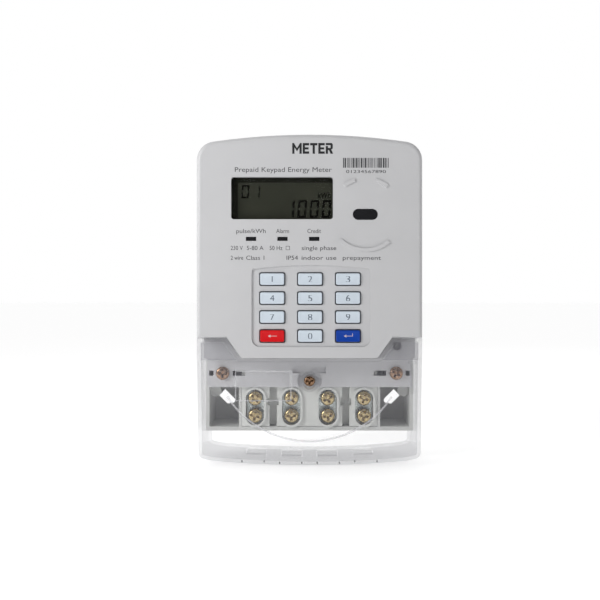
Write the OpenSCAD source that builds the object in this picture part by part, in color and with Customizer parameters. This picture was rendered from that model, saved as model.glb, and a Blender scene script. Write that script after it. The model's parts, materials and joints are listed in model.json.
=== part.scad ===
/* [Overall] */
// Width of the front cover
body_w = 120; // [119:0.5:122]
// Height of the top of the crown above the centre of the back
crown_top = 88; // [87:0.5:90]
// Radius of the crown arc
crown_r = 360; // [300:10:500]
// Radius of the two upper corners
corner_r = 10; // [8:0.5:12]
// Depth from the wall to the front face
depth = 60; // [60:0.5:62]
// Radius of the rounded front edges
edge_r = 2.4; // [1.5:0.1:2.6]
// Wall thickness of the mouldings
wall = 2.6; // [2.2:0.1:2.8]
// Depth of the joint between base and front cover
seam_d = 22; // [20:0.5:23]

/* [Front cover] */
// Height of the shoulder line, where the clear cover begins
shoulder_z = -20.1; // [-20.6:0.1:-19.8]
// Half width of the tongue at the shoulder line
tongue_top = 43.7; // [43:0.1:44.5]
// Half width of the tongue at its lower edge
tongue_low = 36; // [35:0.1:36.5]
// Height of the lower edge of the tongue
tongue_z = -30.8; // [-31.2:0.1:-30.6]
// Depth of the recessed shoulders
shoulder_d = 50; // [49:0.5:50.5]
// Depth of the front of the screw flange
flange_d = 43; // [43:0.1:43.4]
// Height of the lower edge of the screw flange
flange_z = -47.7; // [-47.9:0.1:-47.4]

/* [Keypad and display] */
// Key pitch across
key_pitch_x = 20.1; // [19.8:0.1:20.3]
// Key pitch down
key_pitch_z = 10.07; // [9.9:0.01:10.2]
// Width of a key
key_w = 12.8; // [12:0.1:13]
// Height of a key
key_h = 6.2; // [5.8:0.1:6.4]
// Travel of a key
key_travel = 1.2; // [0.8:0.1:1.2]
// Width of the display opening
lcd_w = 54; // [52:0.5:55]
// Height of the display opening
lcd_h = 22.4; // [21:0.2:23]

/* [Terminals] */
// Distance between terminals
term_pitch = 20; // [20:0.1:20.2]
// Radius of a cable bore
cable_r = 4.25; // [4:0.05:4.3]
// Depth of the cable bore axis
cable_d = 21; // [20.8:0.1:21.2]

/* [Terminal cover] */
// Wall thickness of the clear cover
clear_wall = 2; // [1.8:0.1:2]
// Half width of the clear cover at its lower corners
clear_low_w = 59.2; // [59:0.1:59.6]
// Height of the lowest point of the clear cover
clear_low_z = -88; // [-89:0.5:-87]

/* [Hidden] */
$fn = 48;

shell_color = [0.84, 0.84, 0.84];
base_color = [0.74, 0.75, 0.73];
block_color = [0.76, 0.77, 0.75];
clear_color = [0.86, 0.86, 0.92, 0.35];
dark_color = [0.10, 0.10, 0.11];
brass_color = [0.80, 0.66, 0.32];
copper_color = [0.80, 0.48, 0.32];
steel_color = [0.70, 0.70, 0.70];
board_color = [0.10, 0.40, 0.22];

half_w = body_w / 2;
eps = 0.01;
gap = 0.3;                       // clearance between separate mouldings
skin_d = depth - wall;           // inside of the front wall
base_inset = 0.8;                // base stands inside the front cover by this much

crown_z = crown_top - crown_r;   // centre of the crown arc
corner_x = half_w - corner_r;
corner_z = crown_z + sqrt(pow(crown_r - corner_r, 2) - pow(corner_x, 2));

lower_half_w = 57;               // base beside the terminals
chamber_wall = 1.9;
chamber_low = -71.9;
chamber_floor = -69.7;
chamber_top = -48;
chamber_seam = chamber_top + 2;  // where the terminal chamber meets the upper base
chamber_inner = 38.9;            // inner side of the fixing cavities
base_rim_d = 39.5;
back_t = 2.5;
shoulder_low = -31.5;
flange_half_w = 56;
flange_back = flange_d - 3;

lcd_x = -14.55;
lcd_z = 54;
window_d = skin_d - 0.1;
optical_x = 29.6;
optical_z = 45.4;
probe_r = 18;
lens_z = 32.4;
lens_xs = [-31, -14.3, 2.5];
lens_w = 5.5;
lens_h = 2.2;

recess_x = 0.8;
recess_half = 31.5;
recess_low = -24.9;
recess_side = 16.4;
recess_rise = 2.1;
recess_r = 4.5;
recess_depth = 1;
key_x0 = 0.35;
key_z0 = 11.1;
key_gap = 0.6;
key_flange_d = skin_d - 0.15;
key_flange_t = 0.8;
mat_front = key_flange_d - key_flange_t - key_travel - 0.15;
mat_back = mat_front - 1.1;
board_front = mat_back - 0.1;
board_t = 1.6;

main_board_d = 10.4;
main_board_top = main_board_d + board_t;
main_board_posts = [[-45, 52], [45, 52], [-45, -16], [45, -16]];
display_board_posts = [[-49, 72], [49, 72], [-49, -11], [49, -11]];

keyhole_z = 70;
keyhole_r = 4.5;
keyhole_slot = 2.3;

case_screw_x = 47.4;
case_screw_z = -40;
cover_screw_z = -44;
boss_r = 5;
boss_seat_d = flange_back + 3.4;
fixing_x = 49.2;
fixing_z = -56.4;
plunger_x = 47.3;
plunger_z = -24.9;

term_xs = [for (i = [-1.5:1:1.5]) i * term_pitch];
block_half_w = 37.2;
block_top = -32;
block_low = -69.4;
block_d = 39.6;
brass_half_w = 6.8;
brass_top = -47;
guide_low = brass_top + 0.1;     // where the busbar guide sits on the terminal block
brass_back = 14;
brass_front = 31;
pocket_z = -59;
pocket_w = 10;
pocket_h = 19.6;
screw_zs = [-54.2, -63.8];
clamp_screw_r = 2.4;
plate_rest = 25.3;               // back of the pressure plate when open
plate_t = 1.2;
head_d = 37.3;                   // underside of a clamp screw head when open
strap_front = 23;
strap_t = 2;

// ---- shared shapes ---------------------------------------------------------

// extrudes an outline drawn in X and Z, from one depth off the wall to another
module slab(from_d, to_d) {
    rotate([90, 0, 0])
        translate([0, 0, from_d])
            linear_extrude(to_d - from_d) children();
}

// round bar or bore along the depth
module rod(x, z, r, from_d, to_d) {
    translate([x, -from_d, z])
        rotate([90, 0, 0]) cylinder(r = r, h = to_d - from_d);
}

module block(x0, x1, z0, z1, from_d, to_d) {
    translate([x0, -to_d, z0]) cube([x1 - x0, to_d - from_d, z1 - z0]);
}

module round_rect(w, h, r) {
    square([w - 2 * r, h], center = true);
    square([w, h - 2 * r], center = true);
    for (sx = [-1, 1], sz = [-1, 1])
        translate([sx * (w / 2 - r), sz * (h / 2 - r)]) circle(r);
}

module stadium(w, h) {
    r = min(w, h) / 2;
    square([w - (w > h ? 2 * r : 0), h - (h > w ? 2 * r : 0)], center = true);
    for (s = [-1, 1])
        translate([s * (w / 2 - r), s * (h / 2 - r)]) circle(r);
}

// outline under the crown, cut off at z_low
module crown_outline(inset, z_low) {
    sector = (crown_r + 10) / (crown_r - corner_r);
    intersection() {
        translate([0, crown_z]) circle(crown_r - inset, $fn = 360);
        polygon([[0, crown_z],
                 [sector * corner_x, crown_z + sector * (corner_z - crown_z)],
                 [-sector * corner_x, crown_z + sector * (corner_z - crown_z)]]);
        translate([-half_w, corner_z - 1]) square([body_w, 40]);
    }
    for (s = [-1, 1])
        translate([s * corner_x, corner_z]) circle(corner_r - inset);
    translate([inset - half_w, z_low]) square([body_w - 2 * inset, corner_z - z_low]);
}

module tongue_outline(inset, z_top) {
    polygon([[-tongue_top + inset, z_top], [-tongue_top + inset, shoulder_z + inset * 0.3],
             [-tongue_low + inset, tongue_z + inset], [tongue_low - inset, tongue_z + inset],
             [tongue_top - inset, shoulder_z + inset * 0.3], [tongue_top - inset, z_top]]);
}

function arc(cx, cz, r, from, to, steps) =
    [for (i = [0:steps]) let (a = from + (to - from) * i / steps) [cx + r * cos(a), cz + r * sin(a)]];

// the same outline under the crown, as points for a hull
module crown_polygon(inset, z_low) {
    tangent = atan2(corner_z - crown_z, corner_x);
    span = 180 - 2 * tangent;
    polygon(concat(
        [[half_w - inset, z_low]],
        arc(corner_x, corner_z, corner_r - inset, 0, tangent, 9),
        arc(0, crown_z, crown_r - inset, tangent + span / 12, 180 - tangent - span / 12, 10),
        arc(-corner_x, corner_z, corner_r - inset, 180 - tangent, 180, 9),
        [[inset - half_w, z_low]]));
}

// outline of the clear cover: tapered sides, small corners and a shallow lower arc
module clear_outline(inset, z_top) {
    side_z = clear_low_z + 3.4;
    r = 3.4;
    low_r = (pow(clear_low_w, 2) + pow(3.2, 2)) / (2 * 3.2);
    lean = atan(3.2 / clear_low_w) * 2 * (clear_low_w - r) / clear_low_w;
    x = clear_low_w - inset;
    polygon(concat(
        [[-(half_w - inset), z_top]],
        arc(-(clear_low_w - r), side_z + r, r - inset, 180, 270 - lean, 6),
        [for (i = [-8:8]) let (a = i / 8 * (lean - 0.4))
            [(low_r - inset) * sin(a), clear_low_z + low_r - (low_r - inset) * cos(a)]],
        arc(clear_low_w - r, side_z + r, r - inset, 270 + lean, 360, 6),
        [[half_w - inset, z_top]]));
}

// front edge rounded in five steps: child 0 is the full outline, each next one a little further in
module edge_layers(back_d, r) {
    hull() {
        slab(back_d, depth - r) children(0);
        for (i = [1:5])
            slab(depth - r + r * sin(i * 18) - eps, depth - r + r * sin(i * 18)) children(i);
    }
}

function edge_inset(i, r) = r * (1 - cos(i * 18));

// cross-headed screw along the depth, with the underside of its head at the origin
module pan_screw(head_r, head_h, shank_r, length) {
    rim_h = head_h * 0.55;
    difference() {
        union() {
            rod(0, 0, head_r, 0, rim_h);
            translate([0, -rim_h, 0])
                rotate([90, 0, 0]) cylinder(r1 = head_r, r2 = head_r * 0.72, h = head_h - rim_h);
            rod(0, 0, shank_r, -length, eps);
        }
        for (a = [0, 90])
            translate([0, -head_h, 0])
                rotate([0, a, 0]) cube([head_r * 1.25, head_h, head_r * 0.28], center = true);
    }
}

module at(x, z, d) {
    translate([x, -d, z]) children();
}

function key_x(col) = key_x0 + (col - 1) * key_pitch_x;
function key_z(row) = key_z0 - row * key_pitch_z;

module at_keys() {
    for (row = [0:3], col = [0:2])
        translate([key_x(col), key_z(row)]) children();
}

// ---- casings ---------------------------------------------------------------

module base_outer() {
    slab(0, seam_d - 0.6) crown_outline(base_inset, shoulder_z + gap);
    block(-lower_half_w, lower_half_w, chamber_low, shoulder_z - 0.2, 0, base_rim_d);
    block(-lower_half_w, lower_half_w, shoulder_z - 1, shoulder_z + 3, 0, seam_d - 0.6);
    // lip that locates the front cover
    slab(seam_d - 1, seam_d + 4) crown_outline(wall + gap, shoulder_z + wall + gap);
}

module base_inner() {
    inner_w = lower_half_w - chamber_wall;
    slab(back_t, depth) crown_outline(wall + gap + 1.3, shoulder_z - 2);
    block(-inner_w, inner_w, chamber_top + 2, shoulder_z + 4, back_t, depth);
    for (s = [-1, 1])
        block(s > 0 ? chamber_inner : -inner_w, s > 0 ? inner_w : -chamber_inner,
              chamber_floor, chamber_top, back_t, depth);
    block(-block_half_w - 0.15, block_half_w + 0.15, chamber_floor, chamber_top + 3, back_t, depth);
}

module base_post(x, z, r, to_d) {
    rod(x, z, r, back_t - eps, to_d);
}

module keyhole(from_d, to_d) {
    rod(0, keyhole_z, keyhole_r, from_d, to_d);
    block(-keyhole_slot, keyhole_slot, keyhole_z, keyhole_z + 8, from_d, to_d);
    rod(0, keyhole_z + 8, keyhole_slot, from_d, to_d);
}

// two parallel slanted slots run together on each side
module fixing_slots() {
    for (s = [-1, 1], k = [-1, 1])
        translate([s * fixing_x, 0, fixing_z])
            rotate([0, s * 45, 0])
                translate([k * 0.9, 0, k * s * 0.65])
                    slab(-1, back_t + 1) stadium(3.4, 11);
}

module base_moulding() {
    difference() {
        union() {
            difference() {
                base_outer();
                base_inner();
            }
            for (p = main_board_posts) base_post(p[0], p[1], 3.2, main_board_d - 0.02);
            for (s = [-1, 1]) {
                base_post(s * case_screw_x, case_screw_z, 4.6, base_rim_d);
                base_post(s * 52.4, chamber_top - 3, 3.1, 30);
            }
            // cup that closes the hanging keyhole off from the inside
            slab(back_t - eps, 8.5) translate([0, keyhole_z + 2]) stadium(15, 21);
        }
        keyhole(-1, back_t + 1);
        slab(back_t, 7) translate([0, keyhole_z + 3]) stadium(11, 17);
        fixing_slots();
        for (p = main_board_posts) rod(p[0], p[1], 1.25, 4, 20);
        for (s = [-1, 1]) rod(s * case_screw_x, case_screw_z, 1.5, 10, 60);
        for (x = term_xs)
            translate([x, -cable_d, chamber_low - 1]) cylinder(r = cable_r + 0.75, h = 4);
        // shallow panels moulded into the back
        for (s = [-1, 1]) slab(-1, 0.6) translate([s * 30, 20]) round_rect(34, 60, 3);
        slab(-1, 0.6) translate([0, -40]) round_rect(64, 30, 3);
    }
}

module below_seam() {
    block(-lower_half_w - 1, lower_half_w + 1, chamber_low - 1, chamber_seam, -1, depth);
}

module base_housing() {
    color(base_color)
    difference() {
        base_moulding();
        below_seam();
    }
}

module terminal_chamber() {
    color(base_color)
    intersection() {
        base_moulding();
        below_seam();
    }
}

module cover_outer() {
    edge_layers(seam_d, edge_r) {
        crown_polygon(0, shoulder_z);
        crown_polygon(edge_inset(1, edge_r), shoulder_z + edge_inset(1, 1));
        crown_polygon(edge_inset(2, edge_r), shoulder_z + edge_inset(2, 1));
        crown_polygon(edge_inset(3, edge_r), shoulder_z + edge_inset(3, 1));
        crown_polygon(edge_inset(4, edge_r), shoulder_z + edge_inset(4, 1));
        crown_polygon(edge_inset(5, edge_r), shoulder_z + edge_inset(5, 1));
    }
    slab(flange_back, depth) tongue_outline(0, shoulder_z + 6);
    block(-lower_half_w, lower_half_w, shoulder_low, shoulder_z + 1, flange_back, shoulder_d);
    block(-flange_half_w, flange_half_w, flange_z, shoulder_low + 1, flange_back, flange_d);
}

module cover_inner() {
    slab(seam_d - 1, skin_d) crown_outline(wall, shoulder_z + wall);
    slab(flange_back - 1, skin_d) tongue_outline(wall, shoulder_z + 6);
    block(-lower_half_w + 2.4, lower_half_w - 2.4, shoulder_low + 2.4, shoulder_z + 4,
          flange_back - 1, shoulder_d - 2.4);
    block(-lower_half_w + 1.6, lower_half_w - 1.6, shoulder_z - 1, shoulder_z + 4,
          seam_d - 1, flange_back);
}

// keypad recess with an arched upper edge
module recess_outline() {
    arch_r = (pow(recess_half, 2) + pow(recess_rise, 2)) / (2 * recess_rise);
    intersection() {
        translate([recess_x, (recess_low + recess_side + recess_rise) / 2])
            round_rect(2 * recess_half, recess_side + recess_rise - recess_low, recess_r);
        translate([recess_x, recess_side + recess_rise - arch_r]) circle(arch_r, $fn = 180);
    }
}

module probe_arc(from, to) {
    translate([optical_x, -depth + eps, optical_z]) rotate([90, 0, 0])
        rotate([0, 0, from])
            rotate_extrude(angle = to - from, $fn = 96) translate([probe_r, 0]) square([1.8, 0.8]);
}

module flange_cutouts() {
    for (s = [-1, 1]) {
        rod(s * case_screw_x, case_screw_z, 1.9, flange_back - 1, flange_d + 1);
        block(s * 53.7 - 1.2, s * 53.7 + 1.2, -41.5, -38.6, flange_back - 1, flange_d + 1);
        block(s * 38.6 - 3.4, s * 38.6 + 3.4, -41.5, -38.6, flange_back - 1, flange_d + 1);
    }
    // seat for the boss of the clear cover
    block(-9, 9, -40, -36.5, flange_back + 1, flange_d + 1);
    rod(0, cover_screw_z, boss_r + 1.6, flange_back + 1, flange_d + 1);
    rod(0, cover_screw_z, 2.6, flange_back - 1, flange_d + 1);
}

module front_cover() {
    color(shell_color)
    difference() {
        union() {
            difference() {
                cover_outer();
                cover_inner();
            }
            for (p = display_board_posts) rod(p[0], p[1], 3, board_front + 0.02, skin_d + 1);
            // guide of the switch plunger
            rod(plunger_x, plunger_z, 3, 41, shoulder_d - 1);
            probe_arc(226, 311);
            probe_arc(52, 73);
            probe_arc(107, 126);
        }
        slab(skin_d - 1, depth + 1) translate([lcd_x, lcd_z]) round_rect(lcd_w, lcd_h, 1.5);
        slab(skin_d - 1, depth + 1) translate([optical_x, optical_z]) stadium(13.3, 5.9);
        for (x = lens_xs)
            slab(skin_d - 1, depth + 1) translate([x, lens_z]) square([lens_w, lens_h], center = true);
        slab(depth - recess_depth, depth + 1) recess_outline();
        slab(skin_d - 1, depth + 1) at_keys() round_rect(key_w + 2 * key_gap, key_h + 2 * key_gap, 1.1);
        for (p = display_board_posts) rod(p[0], p[1], 1.2, board_front - 1, skin_d + 0.8);
        rod(plunger_x, plunger_z, 1.6, 40, shoulder_d - 3);
        rod(plunger_x, plunger_z, 2.4, shoulder_d - 3 - eps, shoulder_d + 1);
        flange_cutouts();
    }
}

module clear_notch(margin) {
    polygon([[-70, 10], [-70, shoulder_z - margin], [-tongue_top - margin * 0.8, shoulder_z - margin],
             [-tongue_low - margin * 0.8, tongue_z - margin], [tongue_low + margin * 0.8, tongue_z - margin],
             [tongue_top + margin * 0.8, shoulder_z - margin], [70, shoulder_z - margin], [70, 10]]);
}

module terminal_cover() {
    top_z = shoulder_z - gap;
    color(clear_color)
    difference() {
        union() {
            difference() {
                edge_layers(3, 2) {
                    clear_outline(0, top_z);
                    clear_outline(edge_inset(1, 2), top_z - edge_inset(1, 0.5));
                    clear_outline(edge_inset(2, 2), top_z - edge_inset(2, 0.5));
                    clear_outline(edge_inset(3, 2), top_z - edge_inset(3, 0.5));
                    clear_outline(edge_inset(4, 2), top_z - edge_inset(4, 0.5));
                    clear_outline(edge_inset(5, 2), top_z - edge_inset(5, 0.5));
                }
                slab(0, shoulder_d + gap) clear_outline(clear_wall, shoulder_z + 10);
                slab(shoulder_d, depth - clear_wall) difference() {
                    clear_outline(clear_wall, shoulder_z + 10);
                    clear_notch(gap + clear_wall);
                }
            }
            rod(0, cover_screw_z, boss_r, boss_seat_d - 2, depth - 1);
            rod(plunger_x, plunger_z, 1.9, shoulder_d - 2.2, depth - 1);
            // guide rib beside the right-hand wall
            block(54.4, 55.4, -50, -33, 52, depth - 1);
            block(52.9, 56.9, -34, -33, 52, depth - 1);
            clear_marks();
        }
        slab(0, depth + 1) clear_notch(gap);
        rod(0, cover_screw_z, boss_r - 1.5, boss_seat_d, depth + 1);
        rod(0, cover_screw_z, 2.2, boss_seat_d - 3, depth);
        for (x = term_xs) knock_out(x);
    }
}

// raised line and frame on the inner side of the clear front
module clear_marks() {
    inner = depth - clear_wall;
    slab(inner - 0.35, inner + eps) difference() {
        intersection() {
            translate([0, -23]) circle(52.6, $fn = 180);
            clear_outline(clear_wall, -50);
        }
        translate([0, -23]) circle(51.6, $fn = 180);
    }
    slab(inner - 0.35, inner + eps) translate([-22.5, -45.3]) difference() {
        round_rect(35, 17.5, 1);
        round_rect(33.8, 16.3, 0.6);
    }
}

// thinned panel that breaks out for a cable
module knock_out(x) {
    floor_z = clear_low_z + (abs(x) > term_pitch ? 0.95 : 0);
    block(x - 5.55, x + 5.55, floor_z + 1.05, floor_z + 6, 14, 34);
    for (s = [-1, 1]) block(x + s * 5.9 - 0.35, x + s * 5.9 + 0.35, floor_z - 1, floor_z + 6, 18, 30);
}

module case_gasket() {
    color(dark_color)
    slab(seam_d - 0.6, seam_d) difference() {
        crown_outline(base_inset + 0.1, shoulder_z + 1);
        crown_outline(wall + gap - 0.1, shoulder_z);
    }
}

// ---- front parts -----------------------------------------------------------

module display_window() {
    color([0.55, 0.57, 0.52, 0.4]) {
        slab(window_d - 1.2, window_d) translate([lcd_x, lcd_z]) round_rect(lcd_w + 4, lcd_h + 4, 2);
    }
}

module optical_window() {
    color(dark_color) {
        slab(skin_d - 0.2, depth - 0.25) translate([optical_x, optical_z]) stadium(13.1, 5.7);
        slab(skin_d - 1.2, skin_d - 0.1) translate([optical_x, optical_z]) stadium(16, 8.6);
    }
}

module indicator_lenses() {
    color(dark_color)
    for (x = lens_xs)
        translate([x, 0, lens_z]) {
            slab(skin_d - 0.2, depth - 0.1) square([lens_w - 0.1, lens_h - 0.1], center = true);
            slab(skin_d - 0.9, skin_d - 0.1) square([lens_w + 1.6, lens_h + 1.6], center = true);
        }
}

module key_cap(index) {
    // index runs along the rows: 1, 2, 3 ... 9, clear, 0, enter
    col = index % 3;
    row = floor(index / 3);
    cap = index == 9 ? [0.83, 0.11, 0.13] : index == 11 ? [0.02, 0.24, 0.58] : [0.80, 0.86, 0.91];
    color(cap)
    translate([key_x(col), 0, key_z(row)]) {
        slab(key_flange_d - eps, depth + 0.15) round_rect(key_w - 0.1, key_h - 0.1, 0.9);
        slab(depth + 0.15 - eps, depth + 0.4) round_rect(key_w - 0.8, key_h - 0.8, 0.6);
        slab(key_flange_d - key_flange_t, key_flange_d) round_rect(key_w + 2.8, key_h + 2.8, 1);
    }
}

module keypad_mat() {
    color([0.55, 0.57, 0.60]) {
        slab(mat_back, mat_front - 0.3) translate([key_x(1), -4.9]) round_rect(63, 41.5, 2);
        slab(mat_front - 0.3 - eps, mat_front) at_keys() circle(2.6);
    }
}

// ---- terminals -------------------------------------------------------------

module strap_slots() {
    for (x = term_xs)
        block(x - 4.2, x + 4.2, brass_top - 1, block_top + 1, strap_front - strap_t - 0.15,
              strap_front + 0.15);
}

module block_moulding() {
    difference() {
        union() {
            block(-block_half_w, block_half_w, block_low, block_top, back_t + 0.1, flange_back - 0.4);
            for (x = term_xs)
                slab(block_d - eps, block_d + 1.4) translate([x, pocket_z])
                    stadium(pocket_w + 2.4, pocket_h + 2.4);
        }
        for (x = term_xs) {
            slab(brass_front - 1, block_d + 2) translate([x, pocket_z]) stadium(pocket_w, pocket_h);
            block(x - brass_half_w - 0.1, x + brass_half_w + 0.1, block_low - 1, brass_top + 0.1,
                  brass_back - 0.1, brass_front + 0.1);
        }
        strap_slots();
        // barrier grooves
        for (s = [-1, 1]) {
            block(s * term_pitch - 2, s * term_pitch + 2, block_low - 1, chamber_top, 32, block_d + 2);
            block(s * term_pitch - 3, s * term_pitch + 3, -58, -54, 34, block_d + 2);
        }
        rod(0, cover_screw_z, 3.55, brass_front + 0.5, block_d + 2);
    }
}

module below_guide() {
    block(-block_half_w - 1, block_half_w + 1, block_low - 1, guide_low, -1, depth);
}

module terminal_block() {
    color(block_color)
    intersection() {
        block_moulding();
        below_guide();
    }
}

// closes the terminals' chambers and holds the strips that come down into them
module busbar_guide() {
    color(block_color)
    difference() {
        block_moulding();
        below_guide();
    }
}

module terminal(x) {
    low = block_low + 0.1;
    color(brass_color)
    difference() {
        block(x - brass_half_w, x + brass_half_w, low, brass_top, brass_back, brass_front);
        translate([x, -cable_d, low - 1]) cylinder(r = cable_r, h = brass_top - low + 2);
        block(x - 2.7, x + 2.7, low - 1, brass_top - 1, cable_d + 2, plate_rest + plate_t + 0.15);
        for (z = screw_zs) rod(x, z, clamp_screw_r + 0.08, plate_rest, brass_front + 1);
    }
}

module clamp_plate(x) {
    color(steel_color)
    block(x - 2.5, x + 2.5, block_low + 0.4, brass_top - 1.3, plate_rest, plate_rest + plate_t);
}

module clamp_screw(x, z) {
    color([0.84, 0.70, 0.40])
    at(x, z, head_d) pan_screw(4, 3, clamp_screw_r, head_d - plate_rest - plate_t - 0.03);
}

module case_screws() {
    color([0.62, 0.48, 0.38])
    for (s = [-1, 1])
        at(s * case_screw_x, case_screw_z, flange_d + 0.02) pan_screw(3.65, 2.4, 1.45, 21);
}

module cover_screw() {
    color([0.62, 0.48, 0.38])
    at(0, cover_screw_z, boss_seat_d + 0.05)
        pan_screw(3.1, 2.4, 1.9, boss_seat_d - brass_front - 1.2);
}

module screw_insert() {
    color(brass_color)
    difference() {
        rod(0, cover_screw_z, 3.5, brass_front + 0.6, flange_back - 0.5);
        rod(0, cover_screw_z, 1.97, brass_front, flange_back);
    }
}

// ---- boards and what they carry --------------------------------------------

module display_board() {
    color(board_color)
    difference() {
        union() {
            block(-53, 53, -15, 76, board_front - board_t, board_front);
            block(-33.5, 33.5, -27.5, -14, board_front - board_t, board_front);
            for (x = [22, 34])
                block(x, x + 8, 56, 64, board_front - board_t - 1.4, board_front - board_t + eps);
            block(-28, -8, 20, 34, board_front - board_t - 1.8, board_front - board_t + eps);
        }
        for (p = display_board_posts) rod(p[0], p[1], 1.5, 0, depth);
    }
}

module lcd_holder() {
    color([0.90, 0.90, 0.88])
    slab(board_front + 0.02, window_d - 1.25) translate([lcd_x, lcd_z]) difference() {
        round_rect(lcd_w + 5, lcd_h + 5, 1);
        square([lcd_w + 2.4, lcd_h + 2.4], center = true);
    }
}

module lcd_panel() {
    color([0.24, 0.25, 0.20])
    slab(board_front + 0.05, window_d - 1.3) translate([lcd_x, lcd_z])
        square([lcd_w + 2, lcd_h + 2], center = true);
}

module indicator_leds() {
    color([0.85, 0.85, 0.80])
    for (x = lens_xs) {
        rod(x, lens_z, 1.5, board_front, board_front + 0.8);
        rod(x, lens_z, 1.2, board_front, skin_d - 1.2);
    }
}

module infrared_pair() {
    color([0.15, 0.12, 0.16])
    for (s = [-1, 1]) {
        rod(optical_x + s * 3.25, optical_z, 2.5, board_front, board_front + 0.8);
        rod(optical_x + s * 3.25, optical_z, 2.1, board_front, skin_d - 1.4);
    }
}

module main_board() {
    color(board_color)
    difference() {
        union() {
            block(-50, 50, -28, 58, main_board_d, main_board_top);
            block(-16, -2, 32, 46, main_board_top - eps, main_board_top + 1.6);
            block(1, 11, 40, 46, main_board_top - eps, main_board_top + 1.8);
            // mains input posts
            for (x = [-24, 24]) block(x - 3, x + 3, 12, 18, main_board_top - eps, main_board_top + 9);
        }
        for (p = main_board_posts) rod(p[0], p[1], 1.5, 0, depth);
    }
}

module board_screws() {
    color(steel_color) {
        for (p = main_board_posts)
            at(p[0], p[1], main_board_top + 0.02) pan_screw(2.6, 1.8, 1.2, 7);
        for (p = display_board_posts)
            at(p[0], p[1], board_front - board_t - 0.02)
                mirror([0, 1, 0]) pan_screw(2.6, 1.8, 1.15, 5.5);
    }
}

module board_link() {
    link_back = main_board_top + 0.02;
    link_front = board_front - board_t - 0.02;
    color([0.85, 0.84, 0.78]) {
        block(14, 40, 50.5, 55.5, link_back, link_back + 6);
        block(14, 40, 50.5, 55.5, link_front - 6, link_front);
        block(15, 39, 52.5, 53.5, link_back, link_front);
    }
}

module relay() {
    color([0.12, 0.13, 0.15]) {
        slab(main_board_top + 0.05, 30) translate([0, -7]) round_rect(38, 29, 1);
        slab(30 - eps, 30.6) translate([0, -7]) round_rect(35, 26, 1);
    }
}

// flat strap from a terminal up and in to the side of the relay
module relay_strap(side) {
    x = side * 1.5 * term_pitch;
    back = strap_front - strap_t;
    block(x - 4, x + 4, brass_top + 0.02, -8, back, strap_front);
    block(side > 0 ? 19.05 : x, side > 0 ? x : -19.05, -16, -8, back, strap_front);
}

module shunt() {
    color(copper_color) difference() {
        relay_strap(-1);
        // the resistive neck is cut in from both sides
        for (s = [-1, 1])
            rod(-1.5 * term_pitch + s * 4.6, -24, 2.4, 10, 30);
    }
}

module load_busbar() {
    color(copper_color) relay_strap(1);
}

module neutral_link() {
    x = term_pitch / 2;
    color(copper_color) {
        for (s = [-1, 1])
            block(s * x - 4, s * x + 4, brass_top + 0.02, -24, strap_front - strap_t, strap_front);
        block(-x, x, -30.5, -24, strap_front - strap_t, strap_front);
    }
}

module transformer() {
    color([0.45, 0.43, 0.40]) {
        // laminated frame
        difference() {
            block(-46, -18, 22, 48, main_board_top + 0.05, 32);
            block(-40, -24, 28, 42, main_board_top, 33);
        }
        // winding on its former
        block(-39, -25, 29, 41, main_board_top + 0.05, 34);
        block(-40.5, -23.5, 27.5, 42.5, 18, 26);
    }
}

module capacitors() {
    color([0.15, 0.25, 0.55]) {
        block(26, 48, 2, 12, main_board_top + 0.05, 28);
        for (x = [-44, -33]) rod(x, 9, 5, main_board_top + 0.05, 29);
        for (x = [33, 42]) rod(x, 21, 4, main_board_top + 0.05, 24);
    }
}

module backup_battery() {
    color([0.55, 0.62, 0.60]) {
        translate([14, -main_board_top - 7.4, 34])
            rotate([0, 90, 0]) cylinder(r = 7.2, h = 27);
        translate([41 - eps, -main_board_top - 7.4, 34])
            rotate([0, 90, 0]) cylinder(r = 2.6, h = 1.4);
    }
}

module buzzer() {
    color(dark_color)
    difference() {
        rod(6, 22, 6, main_board_top + 0.05, main_board_top + 9);
        rod(6, 22, 1.1, main_board_top + 4, main_board_top + 10);
    }
}

module cover_switch() {
    color(dark_color) {
        block(plunger_x - 2.6, plunger_x + 2.6, plunger_z - 2.9, plunger_z + 3.1,
              main_board_top + 0.05, main_board_top + 5);
        rod(plunger_x, plunger_z, 1.5, main_board_top + 5 - eps, main_board_top + 5.8);
    }
}

module switch_plunger() {
    color([0.88, 0.88, 0.86]) {
        rod(plunger_x, plunger_z, 1.55, main_board_top + 6.2, shoulder_d - 2.35);
        rod(plunger_x, plunger_z, 2.6, 34, 35.4);
    }
}

base_housing();
terminal_chamber();
front_cover();
terminal_cover();
display_window();
optical_window();
indicator_lenses();
key_cap(10);  // key_0
key_cap(0);  // key_1
key_cap(1);  // key_2
key_cap(2);  // key_3
key_cap(3);  // key_4
key_cap(4);  // key_5
key_cap(5);  // key_6
key_cap(6);  // key_7
key_cap(7);  // key_8
key_cap(8);  // key_9
key_cap(9);  // key_clear
key_cap(11);  // key_enter
keypad_mat();
terminal_block();
busbar_guide();
terminal(term_xs[0]);  // terminal_1
terminal(term_xs[1]);  // terminal_2
terminal(term_xs[2]);  // terminal_3
terminal(term_xs[3]);  // terminal_4
clamp_plate(term_xs[0]);  // clamp_plate_1
clamp_plate(term_xs[1]);  // clamp_plate_2
clamp_plate(term_xs[2]);  // clamp_plate_3
clamp_plate(term_xs[3]);  // clamp_plate_4
clamp_screw(term_xs[0], screw_zs[0]);  // clamp_screw_1_upper
clamp_screw(term_xs[1], screw_zs[0]);  // clamp_screw_2_upper
clamp_screw(term_xs[2], screw_zs[0]);  // clamp_screw_3_upper
clamp_screw(term_xs[3], screw_zs[0]);  // clamp_screw_4_upper
clamp_screw(term_xs[0], screw_zs[1]);  // clamp_screw_1_lower
clamp_screw(term_xs[1], screw_zs[1]);  // clamp_screw_2_lower
clamp_screw(term_xs[2], screw_zs[1]);  // clamp_screw_3_lower
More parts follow.
